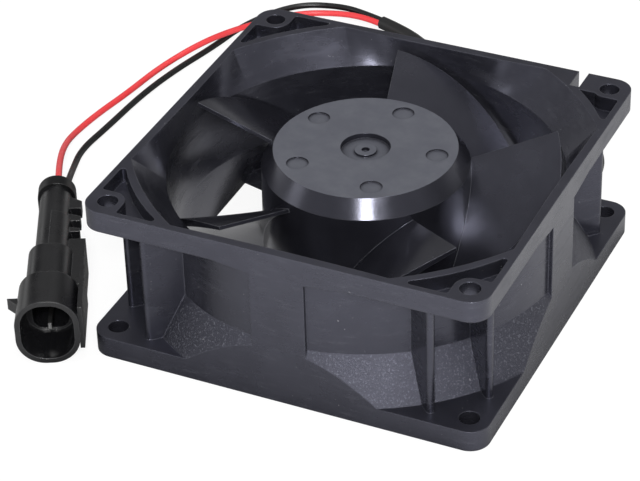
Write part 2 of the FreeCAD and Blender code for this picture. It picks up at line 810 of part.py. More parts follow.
def windings():
    """One coil round each pole, each its own solid."""
    middle = (core_bottom + core_top) / 2
    hole_height = core_top - core_bottom + 2 * insulator_thick + 2 * fit_gap
    hole_half = pole_half + insulator_side + fit_gap
    reach = core_radius - pole_shoe - coil_end_gap
    end = math.sqrt(reach ** 2 - coil_half ** 2)
    outer = rounded_bar(coil_start, end, 2 * coil_half, hole_height + 2 * coil_build, coil_round, middle)
    hole = box(coil_start, end, -hole_half, hole_half, middle - hole_height / 2, middle + hole_height / 2)
    return Part.makeCompound(around(outer.cut(hole), pole_count))


def winding_pins():
    """The pins that carry the windings' ends down through the circuit board."""
    pin = rod(pin_radius, board_seat - pin_tail, insulator_base, pin_ring_radius)
    return Part.makeCompound(around(pin, pole_count, 180.0 / pole_count))


# ---------------------------------------------------------------- circuit board
def circuit_board():
    """The round board on the motor base."""
    bore = tube_foot_radius + board_bore_gap
    board = ring(bore, board_radius, board_seat, board_top)
    hole = rod(pin_radius + pin_hole_gap, board_seat, board_top, pin_ring_radius)
    return board.cut(around(hole, pole_count, 180.0 / pole_count))


def hall_sensor():
    """The rotor position sensor under the edge of the magnet."""
    length, width, height = hall_size
    middle = (magnet_bore + magnet_radius) / 2 - width / 2
    body = box(middle - width / 2, middle + width / 2, -length / 2, length / 2, board_top, board_top + height)
    return spun(body, hall_turn)


def board_block(size, turn, inset):
    """A component on the underside of the board, this far in from its edge."""
    length, width, height = size
    x, y, _ = polar(board_radius - inset, turn)
    return box(x - length / 2, x + length / 2, y - width / 2, y + width / 2, board_seat - height, board_seat)


# ---------------------------------------------------------------- leads
def lead_tail(side):
    """The stretch of one lead that lies in the strut's channel."""
    offset = -lead_offset + side * (lead_radius + lead_gap / 2)
    start = FreeCAD.Vector(tail_start, offset, lead_height)
    tail = Part.makeCylinder(lead_radius, tail_end - tail_start, start, FreeCAD.Vector(1, 0, 0))
    return spun(tail, strut_turn)


def sleeve_route():
    """The sleeve's points: straight out of the frame along the lead strut, then as laid by hand."""
    ends = [spun(Part.Vertex(along, -lead_offset, 0.0), strut_turn).Point
            for along in (tail_end, tail_end + sleeve_straight)]
    heights = (lead_height, (lead_height + sleeve_points[0][2]) / 2)
    return [(end.x, end.y, height) for end, height in zip(ends, heights)] + sleeve_points


def solder_tabs():
    """The two tabs that join the leads to the board's underside."""
    tabs = []
    for side in (-1, 1):
        middle = -lead_offset + side * (lead_radius + lead_gap / 2)
        half = lead_radius - lead_gap
        low = lead_height - half
        tabs.append(spun(box(tail_start - tab_length, tail_start, middle - half, middle + half,
                             low, board_seat), strut_turn))
    return Part.makeCompound(tabs)


def cord(name, points, radius):
    """A round cord of straight runs joined by tangent arcs, each as large as its runs allow."""
    corners = [FreeCAD.Vector(*point) for point in points]
    edges = []
    reached = corners[0]
    radii = []
    length = 0.0
    for before, corner, after in zip(corners, corners[1:], corners[2:]):
        back = before - corner
        on = after - corner
        trim = 0.45 * min(back.Length, on.Length)
        back.normalize()
        on.normalize()
        half_turn = (math.pi - back.getAngle(on)) / 2
        bend = trim / math.tan(half_turn)
        inward = (back + on).normalize()
        start, end = corner + back * trim, corner + on * trim
        middle = corner + inward * (bend / math.cos(half_turn) - bend)
        edges.append(Part.LineSegment(reached, start).toShape())
        edges.append(arc(start, middle, end))
        length += (start - reached).Length + 2 * half_turn * bend
        reached = end
        radii.append(round(bend, 1))
    edges.append(Part.LineSegment(reached, corners[-1]).toShape())
    length += (corners[-1] - reached).Length
    circle = Part.Wire(Part.makeCircle(radius, corners[0], corners[1] - corners[0]))
    tube = Part.Wire(edges).makePipeShell([circle], True, False)
    share = tube.Volume / (math.pi * radius ** 2 * length)
    print(name, "length", round(length, 1), "volume share", round(share, 4), "bend radii", radii)
    return tube


# ---------------------------------------------------------------- plug
def on_floor(shape):
    """The plug's own axes (X from its mouth, Y to its latch, Z up) placed where it lies."""
    placed = shape.copy()
    placed.rotate(FreeCAD.Vector(), FreeCAD.Vector(0, 0, 1), plug_turn)
    placed.translate(FreeCAD.Vector(plug_mouth[0], plug_mouth[1], plug_axis_height))
    return placed


def level_rod(radius, start, end, height=0.0):
    """A cylinder along the plug's axis."""
    return Part.makeCylinder(radius, end - start, FreeCAD.Vector(start, 0, height), FreeCAD.Vector(1, 0, 0))


def plug_shroud():
    """The mouth end, whose corners sharpen towards the step."""
    mouth = rounded_rectangle(0.0, shroud_width, shroud_height, shroud_mouth_round)
    rear = rounded_rectangle(shroud_length, shroud_rear_width, shroud_height, shroud_rear_round)
    return Part.makeLoft([mouth, rear], True, True)


def barrel_panel():
    """The raised field on the right half of the barrel."""
    wrap = rounded_bar(neck_end - root_overlap, panel_end, barrel_width + 2 * panel_raise,
                       barrel_height + 2 * panel_raise, barrel_round + panel_raise)
    half = barrel_width
    side = box(neck_end - root_overlap, panel_end, -half, panel_left, -barrel_height, barrel_height)
    return wrap.common(side)


def clip_rail():
    """The mounting rail on the right side: a block on the neck and a T-shaped plate."""
    block = box(rail_block_start, rail_block_end, -rail_block_out, -barrel_width / 4,
                -rail_block_half, rail_block_half)
    inner = rail_plate_out - rail_plate_thick
    plate = box(rail_plate_start, rail_plate_end, -rail_plate_out, -inner, -rail_plate_half, rail_plate_half)
    web = box(rail_plate_start, rail_plate_end, -inner, -shroud_rear_width / 2 + mouth_wall / 2,
              -rail_web_half, rail_web_half)
    return [block, plate, web]


def rail_hooks():
    """The three small hooks behind the rail."""
    hooks = []
    for start, length in zip(hook_starts, hook_lengths):
        root, tip = -barrel_width / 4, -hook_out
        outline = Part.makePolygon([
            FreeCAD.Vector(start, root, hook_low), FreeCAD.Vector(start, tip, hook_low),
            FreeCAD.Vector(start + length / 2, tip, hook_low),
            FreeCAD.Vector(start + length, root, hook_low), FreeCAD.Vector(start, root, hook_low),
        ])
        hooks.append(Part.Face(outline).extrude(FreeCAD.Vector(0, 0, hook_high - hook_low)))
    return hooks


def latch_wedge():
    """The ramp that the mating plug's latch snaps over."""
    surface = shroud_rear_width / 2
    root = surface - mouth_wall / 2
    outline = Part.makePolygon([
        FreeCAD.Vector(latch_start, root, -latch_half), FreeCAD.Vector(latch_start, surface, -latch_half),
        FreeCAD.Vector(latch_end, latch_out, -latch_half), FreeCAD.Vector(latch_end, root, -latch_half),
        FreeCAD.Vector(latch_start, root, -latch_half),
    ])
    return Part.Face(outline).extrude(FreeCAD.Vector(0, 0, 2 * latch_half))


def plug_hollows():
    """The mouth, the narrower socket behind it, the tab slots and the terminal bores."""
    width, height = shroud_width - 2 * mouth_wall, shroud_height - 2 * mouth_wall
    mouth = rounded_rectangle(0.0, width, height, shroud_mouth_round - mouth_wall)
    inner = rounded_rectangle(mouth_inner_length, shroud_rear_width - 2 * mouth_wall, height,
                              shroud_rear_round - mouth_wall)
    hollows = [Part.makeLoft([mouth, inner], True, True)]
    hollows.append(rounded_bar(mouth_inner_length, socket_depth, socket_width, socket_height, socket_round))
    for height in (-bore_half_pitch, bore_half_pitch):
        hollows.append(level_rod(bore_radius, bore_start, barrel_end, height))
        half_thick, half_width = tab_thick / 2 + tab_slot_gap, tab_width / 2 + tab_slot_gap
        hollows.append(box(socket_depth, bore_start, -half_thick, half_thick,
                           height - half_width, height + half_width))
    return hollows


def connector_housing():
    """The moulded housing of the two-way plug."""
    neck = rounded_bar(shroud_length - root_overlap, neck_end, neck_width, neck_height, neck_round)
    barrel = rounded_bar(neck_end - root_overlap, barrel_end, barrel_width, barrel_height, barrel_round)
    outside = [plug_shroud(), neck, barrel, barrel_panel(), latch_wedge()] + clip_rail() + rail_hooks()
    body = joined(outside)
    return on_floor(body.cut(plug_hollows()))


def terminals():
    """The two tab terminals, each its own solid: tab, box and crimp."""
    made = []
    for height in (-bore_half_pitch, bore_half_pitch):
        tab = box(tab_tip, bore_start, -tab_thick / 2, tab_thick / 2,
                  height - tab_width / 2, height + tab_width / 2)
        body = box(bore_start, terminal_end, -terminal_half, terminal_half,
                   height - terminal_half, height + terminal_half)
        crimp = level_rod(crimp_radius, terminal_end, crimp_end, height)
        made.append(on_floor(joined([tab, body, crimp])))
    return Part.makeCompound(made)


def terminal_lock():
    """The plate at the bottom of the socket that locks the tabs."""
    plate = rounded_bar(socket_depth - lock_plate_thick, socket_depth, socket_width - 2 * lock_plate_gap,
                        socket_height - 2 * lock_plate_gap, socket_round - lock_plate_gap)
    slots = []
    for height in (-bore_half_pitch, bore_half_pitch):
        half_thick, half_width = tab_thick / 2 + tab_slot_gap, tab_width / 2 + tab_slot_gap
        slots.append(box(socket_depth - lock_plate_thick, socket_depth, -half_thick, half_thick,
                         height - half_width, height + half_width))
    return on_floor(plate.cut(slots))


def wire_seals():
    """The ribbed rubber seal round each lead, each its own solid."""
    made = []
    rib = seal_length / (2 * seal_ribs - 1)
    for height in (-bore_half_pitch, bore_half_pitch):
        core = level_rod(bore_radius - seal_rib_height, seal_start, seal_start + seal_length, height)
        ribs = [level_rod(bore_radius - fit_gap, seal_start + 2 * rib * index,
                          seal_start + 2 * rib * index + rib, height) for index in range(seal_ribs)]
        hole = level_rod(lead_radius + fit_gap, seal_start, seal_start + seal_length, height)
        made.append(on_floor(core.fuse(ribs).cut(hole)))
    return Part.makeCompound(made)


def connector_end_cap():
    """The cap on the cable end, with a spigot in each bore and a hole for each lead."""
    flange = rounded_bar(barrel_end, barrel_end + end_cap_thick, end_cap_width, end_cap_height, end_cap_round)
    spigots = [level_rod(bore_radius - end_cap_gap, barrel_end - end_cap_spigot, barrel_end, height)
               for height in (-bore_half_pitch, bore_half_pitch)]
    holes = [level_rod(lead_radius + wire_hole_gap, barrel_end - end_cap_spigot,
                       barrel_end + end_cap_thick, height) for height in (-bore_half_pitch, bore_half_pitch)]
    return on_floor(flange.fuse(spigots).cut(holes))


def main():
    """Build and write every sub-part."""
    os.makedirs("parts", exist_ok=True)
    save("fan_frame", fan_frame())
    save("impeller", impeller())
    save("rotor_yoke", rotor_yoke())
    save("rotor_magnet", rotor_magnet())
    save("shaft_bush", shaft_bush())
    save("rotor_shaft", rotor_shaft())
    save("retaining_clip", retaining_clip())
    save("preload_washer", preload_washer())
    for place, low in (("lower", bearing_bottom), ("upper", upper_bearing_bottom)):
        save(place + "_bearing_outer", bearing_outer(low))
        save(place + "_bearing_inner", bearing_inner(low))
        save(place + "_bearing_balls", bearing_balls(low))
        save(place + "_bearing_cage", bearing_cage(low))
    save("bearing_tube", bearing_tube())
    save("base_cap", base_cap())
    save("stator_core", stator_core())
    save("upper_insulator", upper_insulator())
    save("lower_insulator", lower_insulator())
    save("windings", windings())
    save("winding_pins", winding_pins())
    save("circuit_board", circuit_board())
    save("hall_sensor", hall_sensor())
    save("driver_chip", board_block(chip_size, chip_turn, chip_inset))
    save("capacitor", board_block(capacitor_size, capacitor_turn, capacitor_inset))
    save("solder_tabs", solder_tabs())
    save("lead_tail_red", lead_tail(1))
    save("lead_tail_black", lead_tail(-1))
    save("lead_sleeve", cord("sleeve", sleeve_route(), sleeve_radius))
    save("lead_red", cord("red lead", red_points, lead_radius))
    save("lead_black", cord("black lead", black_points, lead_radius))
    save("connector_housing", connector_housing())
    save("connector_end_cap", connector_end_cap())
    save("terminals", terminals())
    save("terminal_lock", terminal_lock())
    save("wire_seals", wire_seals())


main()
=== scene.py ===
"""A server fan module: its finishes, leads, floor, lamps and camera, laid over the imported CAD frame.

Everything is in metres in the module's own frame: the origin is the middle of the fan's underside, +X runs
along the front edge, +Y to the lead side and +Z up to the rotor face.
"""
import json
import logging
import math
from dataclasses import dataclass
from enum import Enum
from typing import Any, ClassVar, Mapping, Optional, Sequence, Union

import bpy
import numpy as np
from mathutils import Matrix, Vector

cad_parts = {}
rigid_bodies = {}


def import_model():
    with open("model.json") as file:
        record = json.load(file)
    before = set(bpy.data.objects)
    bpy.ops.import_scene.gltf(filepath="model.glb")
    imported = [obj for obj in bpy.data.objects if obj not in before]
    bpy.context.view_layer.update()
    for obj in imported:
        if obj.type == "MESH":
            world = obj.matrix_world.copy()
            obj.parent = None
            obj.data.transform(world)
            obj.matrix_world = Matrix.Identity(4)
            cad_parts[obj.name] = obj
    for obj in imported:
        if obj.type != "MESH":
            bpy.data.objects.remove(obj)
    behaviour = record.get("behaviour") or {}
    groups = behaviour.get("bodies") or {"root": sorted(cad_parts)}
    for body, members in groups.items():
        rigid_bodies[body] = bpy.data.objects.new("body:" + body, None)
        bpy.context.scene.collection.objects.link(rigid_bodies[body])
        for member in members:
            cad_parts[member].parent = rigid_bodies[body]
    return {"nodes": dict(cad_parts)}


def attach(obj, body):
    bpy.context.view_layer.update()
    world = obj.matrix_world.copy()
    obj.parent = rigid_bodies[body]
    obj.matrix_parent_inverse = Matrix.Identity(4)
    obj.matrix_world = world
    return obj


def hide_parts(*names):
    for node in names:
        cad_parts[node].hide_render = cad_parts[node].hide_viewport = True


log = logging.getLogger("fan_module")

Point = tuple[float, float, float]
Colour = tuple[float, float, float]
Span = tuple[float, float]
Value = Union["Wire", float, Sequence[float]]
Nodes = Mapping[str, bpy.types.Object]

STATOR_BODY = "frame_and_stator"
MM = 0.001
RISING: Span = (0.0, 1.0)
FALLING: Span = (1.0, 0.0)
SHARP_EDGE: Span = (0.0, 0.12)
BEVEL_SAMPLES = 4
OPENNESS_SAMPLES = 8


# ---------------------------------------------------------------- shader wiring
@dataclass(frozen=True)
class Cloud:
    """Noise with features of a size in metres, whose values in a span become those between two ends."""

    size: float
    detail: float = 3.0
    roughness: float = 0.6
    span: Span = (0.3, 0.7)
    ends: Span = RISING
    stretch: Point = (1.0, 1.0, 1.0)


class Wire:
    """An output of a shader node, with arithmetic that adds Math nodes."""

    def __init__(self, graph: "Graph", socket: bpy.types.NodeSocket) -> None:
        """Hold the socket and the graph that it belongs to."""
        self.graph = graph
        self.socket = socket

    def __add__(self, other: Value) -> "Wire":
        """The sum."""
        return self.graph.math("ADD", self, other)

    def __radd__(self, other: Value) -> "Wire":
        """The sum, from the right."""
        return self.graph.math("ADD", other, self)

    def __sub__(self, other: Value) -> "Wire":
        """The difference."""
        return self.graph.math("SUBTRACT", self, other)

    def __rsub__(self, other: Value) -> "Wire":
        """The difference, from the right."""
        return self.graph.math("SUBTRACT", other, self)

    def __mul__(self, other: Value) -> "Wire":
        """The product."""
        return self.graph.math("MULTIPLY", self, other)

    def __rmul__(self, other: Value) -> "Wire":
        """The product, from the right."""
        return self.graph.math("MULTIPLY", other, self)

    def __truediv__(self, other: Value) -> "Wire":
        """The quotient."""
        return self.graph.math("DIVIDE", self, other)

    def __rtruediv__(self, other: Value) -> "Wire":
        """The quotient, from the right."""
        return self.graph.math("DIVIDE", other, self)


class Graph:
    """The node tree of one material or of the world."""

    def __init__(self, tree: bpy.types.NodeTree) -> None:
        """Take over the tree and empty it."""
        self.tree = tree
        tree.nodes.clear()

    def node(
        self,
        kind: str,
        settings: Optional[Mapping[str, Any]] = None,
        inputs: Optional[Mapping[Union[str, int], Value]] = None,
    ) -> bpy.types.Node:
        """Add one node.

        Args:
            kind: The node's type without its ShaderNode prefix.
            settings: The node's own properties.
            inputs: Values or wires by the input's name or number.

        Returns:
            The node.
        """
        made = self.tree.nodes.new("ShaderNode" + kind)
        for key, value in (settings or {}).items():
            setattr(made, key, value)
        for key, value in (inputs or {}).items():
            self.plug(made.inputs[key], value)
        return made

    def plug(self, socket: bpy.types.NodeSocket, value: Value) -> None:
        """Link a wire to an input, or set the input's value.

        Args:
            socket: The input.
            value: A wire, a number, or numbers that are filled up with ones.
        """
        if isinstance(value, Wire):
            self.tree.links.new(value.socket, socket)
        elif isinstance(value, (int, float)):
            socket.default_value = value
        else:
            numbers = list(value)
            missing = len(socket.default_value) - len(numbers)
            socket.default_value = numbers + [1.0] * missing

    def out(self, made: bpy.types.Node, name: Union[str, int] = 0) -> Wire:
        """The wire of a node's output."""
        return Wire(self, made.outputs[name])

    def math(self, operation: str, first: Value, second: Value = 0.0) -> Wire:
        """One Math node."""
        return self.out(self.node("Math", {"operation": operation}, {0: first, 1: second}))

    def vector_math(self, operation: str, first: Value, second: Value, output: str = "Vector") -> Wire:
        """One Vector Math node."""
        return self.out(self.node("VectorMath", {"operation": operation}, {0: first, 1: second}), output)

    def mix(self, factor: Value, first: Value, second: Value) -> Wire:
        """Mix two colours by a factor.

        Args:
            factor: 0 for the first colour and 1 for the second.
            first: The first colour.
            second: The second colour.

        Returns:
            The mixed colour.
        """
        settings = {"data_type": "RGBA", "blend_type": "MIX"}
        made = self.node("Mix", settings, {0: factor, 6: first, 7: second})
        return self.out(made, 2)

    def part(self, vector: Wire, axis: str) -> Wire:
        """One of a vector's parts, X, Y or Z."""
        return self.out(self.node("SeparateXYZ", {}, {0: vector}), axis)

    def place(self) -> Wire:
        """The Object coordinates, in metres."""
        return self.out(self.node("TexCoord"), "Object")

    def true_normal(self) -> Wire:
        """The direction that the flat face itself looks in."""
        return self.out(self.node("NewGeometry"), "True Normal")

    def axis_distance(self) -> Wire:
        """The distance from the fan's axis, in metres."""
        flat = self.vector_math("MULTIPLY", self.place(), (1.0, 1.0, 0.0))
        return self.out(self.node("VectorMath", {"operation": "LENGTH"}, {0: flat}), "Value")

    def noise(self, size: float, detail: float, roughness: float, stretch: Point = (1.0, 1.0, 1.0)) -> Wire:
        """Noise from 0 to 1 whose features are about this many metres across.

        Args:
            size: The width of a feature in metres.
            detail: How many finer octaves are added.
            roughness: How strong those octaves are.
            stretch: How much wider a feature is along X, Y and Z.

        Returns:
            The noise.
        """
        spread = self.node("Mapping", {}, {"Vector": self.place(), "Scale": [1.0 / s for s in stretch]})
        inputs = {"Vector": self.out(spread), "Scale": 1.0 / size, "Detail": detail, "Roughness": roughness}
        return self.out(self.node("TexNoise", {}, inputs), "Fac")

    def remap(self, value: Value, span: Span, ends: Span = RISING) -> Wire:
        """Take a span of values smoothly to the span between two ends, and hold it there beyond.

        Args:
            value: The value.
            span: Where the change starts and stops.
            ends: What it is before the start and after the stop.

        Returns:
            The result.
        """
        inputs = dict(zip(("Value", "From Min", "From Max", "To Min", "To Max"), (value, *span, *ends)))
        return self.out(self.node("MapRange", {"interpolation_type": "SMOOTHSTEP"}, inputs))

    def cloud(self, cloud: Cloud, around: float = 0.0) -> Wire:
        """A cloud over the surface.

        Args:
            cloud: The pattern.
            around: What is added to both of its ends.

        Returns:
            The value over the surface.
        """
        raw = self.noise(cloud.size, cloud.detail, cloud.roughness, cloud.stretch)
        return self.remap(raw, cloud.span, (around + cloud.ends[0], around + cloud.ends[1]))

    def soft_normal(self, radius: float) -> Wire:
        """The normal with every sharp edge rounded to this radius."""
        return self.out(self.node("Bevel", {"samples": BEVEL_SAMPLES}, {"Radius": radius}))

    def edge_mask(self, radius: float) -> Wire:
        """0 on a flat face and up to 1 along a sharp edge: one less the cosine between both normals."""
        cosine = self.vector_math("DOT_PRODUCT", self.true_normal(), self.soft_normal(radius), "Value")
        return self.remap(1.0 - cosine, SHARP_EDGE)

    def openness(self, reach: float) -> Wire:
        """1 in the open and less in a corner, looking this many metres round."""
        seen = self.node("AmbientOcclusion", {"samples": OPENNESS_SAMPLES}, {"Distance": reach})
        return self.out(seen, "AO")

    def bump(self, height: Value, depth: float, normal: Value) -> Wire:
        """The normal that a height from 0 to 1 gives over this depth in metres."""
        inputs = {"Height": height, "Distance": depth, "Strength": 1.0, "Normal": normal}
        return self.out(self.node("Bump", {}, inputs))

    def surface(self, shader: Wire, kind: str = "OutputMaterial") -> None:
        """Join a shader to the tree's output."""
        self.node(kind, {}, {"Surface": shader})

    def principled(self, **inputs: Value) -> Wire:
        """A Principled shader with its inputs by name, spaces written as underscores."""
        named = {key.replace("_", " "): value for key, value in inputs.items()}
        return self.out(self.node("BsdfPrincipled", {}, named))


def new_material(name: str) -> tuple[bpy.types.Material, Graph]:
    """Start a material.

    Args:
        name: The material's name.

    Returns:
        An empty node material and its graph.
    """
    made = bpy.data.materials.new(name)
    made.use_nodes = True
    return made, Graph(made.node_tree)


# ---------------------------------------------------------------- finishes
@dataclass(frozen=True)
class Finish:
    """A named finish, whose kind says what its shader is."""

    name: str
    colour: Colour

    def shader(self, graph: Graph) -> Wire:
        """The shader, which each kind of finish works out in its own way."""
        raise NotImplementedError(self.name)

    def make(self) -> bpy.types.Material:
        """Build the material.

        Returns:
            The new material.
        """
        made, graph = new_material(self.name)
        graph.surface(self.shader(graph))
        return made


@dataclass(frozen=True)
class MouldedPlastic(Finish):
    """Satin glass-filled plastic: soft mottling, spark-eroded grain and a painted highlight along sharp
    edges.
    """

    pale: Colour
    roughness: float = 0.42
    grain: float = 9e-6
    grain_size: float = 0.00032
    edge: float = 0.00028
    specular: float = 0.5
    tint: Colour = (1.0, 1.0, 1.0)
    # rim: the pale colour of the painted highlight along sharp edges; the frame's real rubbed streaks lean
    # towards it too.
    rim: Colour = (0.030, 0.030, 0.033)
    mottle: Cloud = Cloud(0.007, 4.0, span=(0.32, 0.72))
    mottle_share: float = 0.5
    edge_highlight_cloud: Cloud = Cloud(0.004, span=(0.3, 0.6), ends=(0.35, 1.0))
    sheen: Cloud = Cloud(0.011, ends=(-0.05, 0.07))
    coarse_ratio: float = 5.0
    coarse_share: float = 0.25

    def colour_map(self, graph: Graph) -> Wire:
        """The base colour, mottled, with a pale line of painted highlight along each sharp edge.

        Args:
            graph: The material's graph.

        Returns:
            The colour.
        """
        # Painted highlight: sharp edges turn towards the rim colour.
        painted_edge_highlight = graph.edge_mask(self.edge) * graph.cloud(self.edge_highlight_cloud)
        mottled = graph.mix(graph.cloud(self.mottle) * self.mottle_share, self.colour, self.pale)
        return graph.mix(painted_edge_highlight, mottled, self.rim)

    def rough_map(self, graph: Graph) -> Wire:
        """The roughness over the piece."""
        return graph.cloud(self.sheen, self.roughness)

    def fine_grain(self, graph: Graph) -> Wire:
        """The finest grain alone, from 0 to 1."""
        return graph.noise(self.grain_size, detail=3.0, roughness=0.62)

    def grain_map(self, graph: Graph) -> Wire:
        """The height of the grain, from 0 to 1."""
        coarse = graph.noise(self.grain_size * self.coarse_ratio, detail=2.0, roughness=0.5)
        return self.fine_grain(graph) * (1.0 - self.coarse_share) + coarse * self.coarse_share

    def shader(self, graph: Graph) -> Wire:
        """The plastic's shader.

        Args:
            graph: The material's graph.

        Returns:
            The shader.
        """
        normal = graph.bump(self.grain_map(graph), self.grain, graph.soft_normal(self.edge))
        return graph.principled(
            Base_Color=self.colour_map(graph), Roughness=self.rough_map(graph), Normal=normal,
            Specular_IOR_Level=self.specular, Specular_Tint=self.tint,
        )


@dataclass(frozen=True)
class FramePlastic(MouldedPlastic):
    """The frame's plastic: fine grain on the flat faces and spark-eroded grain on the slanted flares, with
    pale speckles of painted glint there.
    """

    flare_depth: float = 1.3e-4
    flare_size: float = 0.00045
    flare_base: Colour = (0.0075, 0.0075, 0.0100)
    flare_painted_glint: Colour = (0.078, 0.080, 0.092)
    flare_glint_span: Span = (0.54, 0.66)
    flare_matt: float = 0.18
    flare_rise: Span = (0.25, 0.4)
    flare_rise_end: Span = (0.8, 0.92)
    flare_turn: Span = (0.25, 0.45)
    flare_start: Span = (43.9 * MM, 44.6 * MM)
    level_rise: Span = (0.93, 0.98)
    level_matt: float = 0.16
    sheen: Cloud = Cloud(0.014, ends=(-0.05, 0.06))
    rub: Cloud = Cloud(0.0016, 3.0, 0.65, (0.45, 0.8), (0.0, 0.10), (6.0, 6.0, 1.0))
    streaks: Cloud = Cloud(0.0013, 4.0, 0.7, (0.5, 0.78), (0.0, 0.45), (5.0, 5.0, 1.0))
    dust: Colour = (0.30, 0.30, 0.31)
    dust_share: float = 0.5
    specks: Cloud = Cloud(0.0011, 2.0, 0.7, (0.72, 0.77))

    def flare_mask(self, graph: Graph) -> Wire:
        """1 on the slanted outer faces between the flanges: neither level nor upright, turned from the axis.

        Args:
            graph: The material's graph.

        Returns:
            The mask.
        """
        slope = graph.true_normal()
        rise = graph.math("ABSOLUTE", graph.part(slope, "Z"))
        slanted = graph.remap(rise, self.flare_rise) * graph.remap(rise, self.flare_rise_end, FALLING)
        reach = graph.axis_distance()
        turned = graph.vector_math("DOT_PRODUCT", slope, graph.place(), "Value") / reach
        outside = graph.remap(turned, self.flare_turn)
        return slanted * outside * graph.remap(reach, self.flare_start)

    def level_mask(self, graph: Graph) -> Wire:
        """1 on the faces that look straight up."""
        return graph.remap(graph.part(graph.true_normal(), "Z"), self.level_rise)

    def grain_map(self, graph: Graph) -> Wire:
        """The height of the fine grain, with the flares' coarser one weighed by its own depth."""
        coarse = graph.noise(self.flare_size, detail=4.0, roughness=0.75)
        return self.fine_grain(graph) + coarse * self.flare_mask(graph) * (self.flare_depth / self.grain)

    def rough_map(self, graph: Graph) -> Wire:
        """Broad cloudy changes, streaks along the mould's draw, a rougher flare and duller level faces.

        Args:
            graph: The material's graph.

        Returns:
            The roughness.
        """
        rubbed = graph.cloud(self.sheen) + graph.cloud(self.rub)
        duller = rubbed + self.flare_mask(graph) * self.flare_matt + self.level_mask(graph) * self.level_matt
        return duller + self.roughness

    def colour_map(self, graph: Graph) -> Wire:
        """The base colour with rubbed streaks, pale speckles of painted glint on the flares and a few specks
        of dust.

        Args:
            graph: The material's graph.

        Returns:
            The colour.
        """
        rubbed = graph.cloud(self.streaks) * (1.0 - self.level_mask(graph))
        # The real rubbed streaks take the rim colour, which also paints the edge highlights.
        streaked = graph.mix(rubbed, super().colour_map(graph), self.rim)
        # Painted glints: pale speckles that stand in for the sparkle of the flares' grain.
        painted_glints = graph.remap(graph.noise(self.flare_size, detail=3.0, roughness=0.7), self.flare_glint_span)
        glinted = graph.mix(painted_glints, self.flare_base, self.flare_painted_glint)
        grained = graph.mix(self.flare_mask(graph), streaked, glinted)
        return graph.mix(graph.cloud(self.specks) * self.dust_share, grained, self.dust)


@dataclass(frozen=True)
class RotorPlastic(MouldedPlastic):
    """The impeller's plastic: a pale matt hub face, a glossier bevel and satin blades."""

    face_radius: float = 20.15 * MM
    face_fade: float = 0.15 * MM
    face_height: float = 35.6 * MM
    height_fade: float = 0.1 * MM
    face_rise: Span = (0.85, 0.95)
    face_colour: Colour = (0.074, 0.077, 0.091)
    face_pale: Colour = (0.094, 0.098, 0.112)
    face_mottle: Cloud = Cloud(0.005, 4.0, 0.65, (0.3, 0.75))
    painted_hollow_shade: Colour = (0.010, 0.010, 0.013)
    hollow_shade_reach: float = 2.2 * MM
    hollow_shade_span: Span = (0.5, 1.0)
    hub_radius: float = 23.3 * MM
    hub_fade: float = 0.4 * MM
    matt: float = 0.62
    gloss: float = 0.19
    sheen: Cloud = Cloud(0.009, ends=(-0.04, 0.05))

    def face_mask(self, graph: Graph) -> Wire:
        """1 on the hub's face and the floors of its recess and dimples, but not on their walls.

        Args:
            graph: The material's graph.

        Returns:
            The mask.
        """
        level = graph.remap(graph.part(graph.true_normal(), "Z"), self.face_rise)
        rim = (self.face_radius, self.face_radius + self.face_fade)
        inside = graph.remap(graph.axis_distance(), rim, FALLING)
        top = (self.face_height - self.height_fade, self.face_height)
        return inside * level * graph.remap(graph.part(graph.place(), "Z"), top)

    def colour_map(self, graph: Graph) -> Wire:
        """The moulding's black, and the face's matt grey with its own mottling and painted shade in its
        hollows.

        Args:
            graph: The material's graph.

        Returns:
            The colour.
        """
        face = graph.mix(graph.cloud(self.face_mottle), self.face_colour, self.face_pale)
        # Painted shade: the face darkens where little is open round, in its recess and dimples.
        open_share = graph.remap(graph.openness(self.hollow_shade_reach), self.hollow_shade_span)
        face = graph.mix(open_share, self.painted_hollow_shade, face)
        return graph.mix(self.face_mask(graph), super().colour_map(graph), face)

    def rough_map(self, graph: Graph) -> Wire:
        """Matt on the face, glossy on the bevel and satin beyond the hub.

        Args:
            graph: The material's graph.

        Returns:
            The roughness.
        """
        edge = (self.hub_radius, self.hub_radius + self.hub_fade)
        blade = graph.remap(graph.axis_distance(), edge, (self.gloss, self.roughness))
        face = self.face_mask(graph)
        return blade * (1.0 - face) + face * self.matt + graph.cloud(self.sheen)


@dataclass(frozen=True)
class Sheath(Finish):
    """Extruded PVC: even colour, a faint haze and almost no texture."""

    pale: Colour
    roughness: float = 0.34
    haze: Cloud = Cloud(0.006)
    haze_share: float = 0.6
    scuff_size: float = 0.0009
    scuff_depth: float = 6e-6
    scuff_span: Span = (0.25, 0.75)
    scuff_ends: Span = (-0.06, 0.08)

    def shader(self, graph: Graph) -> Wire:
        """The sheath's shader.

        Args:
            graph: The material's graph.

        Returns:
            The shader.
        """
        scuff = graph.noise(self.scuff_size, detail=3.0, roughness=0.6)
        colour = graph.mix(graph.cloud(self.haze) * self.haze_share, self.colour, self.pale)
        rough = graph.remap(scuff, self.scuff_span, tuple(self.roughness + end for end in self.scuff_ends))
        smooth = graph.out(graph.node("NewGeometry"), "Normal")
        normal = graph.bump(scuff, self.scuff_depth, smooth)
        return graph.principled(Base_Color=colour, Roughness=rough, Normal=normal)


